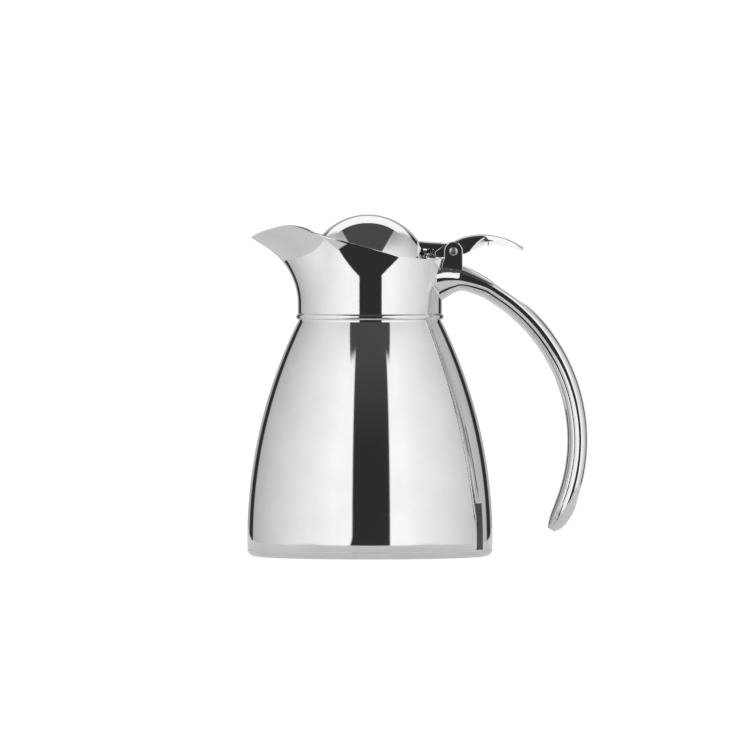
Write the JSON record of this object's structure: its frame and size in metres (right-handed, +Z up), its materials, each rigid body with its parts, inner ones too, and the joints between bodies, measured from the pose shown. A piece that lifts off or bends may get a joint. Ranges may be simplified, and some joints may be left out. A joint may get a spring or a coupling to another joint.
{
  "type": "insulated coffee pot",
  "caption": "Double-walled polished steel coffee pot: bell-shaped body, spouted collar, domed lid on a hinged thumb lever and an open-ended hollow handle.",
  "frame": {"origin": "centre of the flat underside, on the axis of the body", "axes": "+Z up along the body's axis; the spout points to -X and the handle to +X; the pot is symmetric about the XZ plane"},
  "size_m": [0.17, 0.1226, 0.1708],
  "materials": {
    "polished_steel": "mirror-polished stainless steel sheet",
    "plain_steel": "plain rolled stainless steel",
    "black_plastic": "moulded black polypropylene",
    "silicone": "soft silicone rubber",
    "foam": "rigid insulating foam",
    "getter_metal": "sintered metal",
    "sealing_glass": "sealing glass"
  },
  "bodies": {
    "jug": {"outer_shell": "polished_steel", "base_cover": "polished_steel", "vacuum_closing_plate": "plain_steel", "vacuum_sealing_plug": "sealing_glass", "getter_capsule": "getter_metal", "inner_vessel_base": "plain_steel", "inner_vessel_wall": "plain_steel", "inner_vessel_neck": "plain_steel", "neck_ring": "polished_steel", "neck_sleeve": "black_plastic", "sleeve_seal": "silicone", "pouring_collar": "polished_steel", "handle_outer_shell": "polished_steel", "handle_inner_shell": "polished_steel", "hinge_cheek_left": "polished_steel", "hinge_cheek_right": "polished_steel", "hinge_pin": "plain_steel"},
    "lid": {"thumb_lever": "polished_steel", "lid_dome": "polished_steel", "lid_pan": "black_plastic", "lid_gasket": "silicone", "lid_insulation": "foam", "lid_screw": "plain_steel", "lid_nut": "plain_steel", "lid_spacer": "plain_steel", "lid_washer": "plain_steel"}
  },
  "joints": [
    {"name": "lid_hinge", "type": "hinge", "parent": "jug", "child": "lid", "pos_m": [0.0417, 0, 0.1524], "axis": [0, 1, 0], "range_deg": [0, 38]}
  ]
}
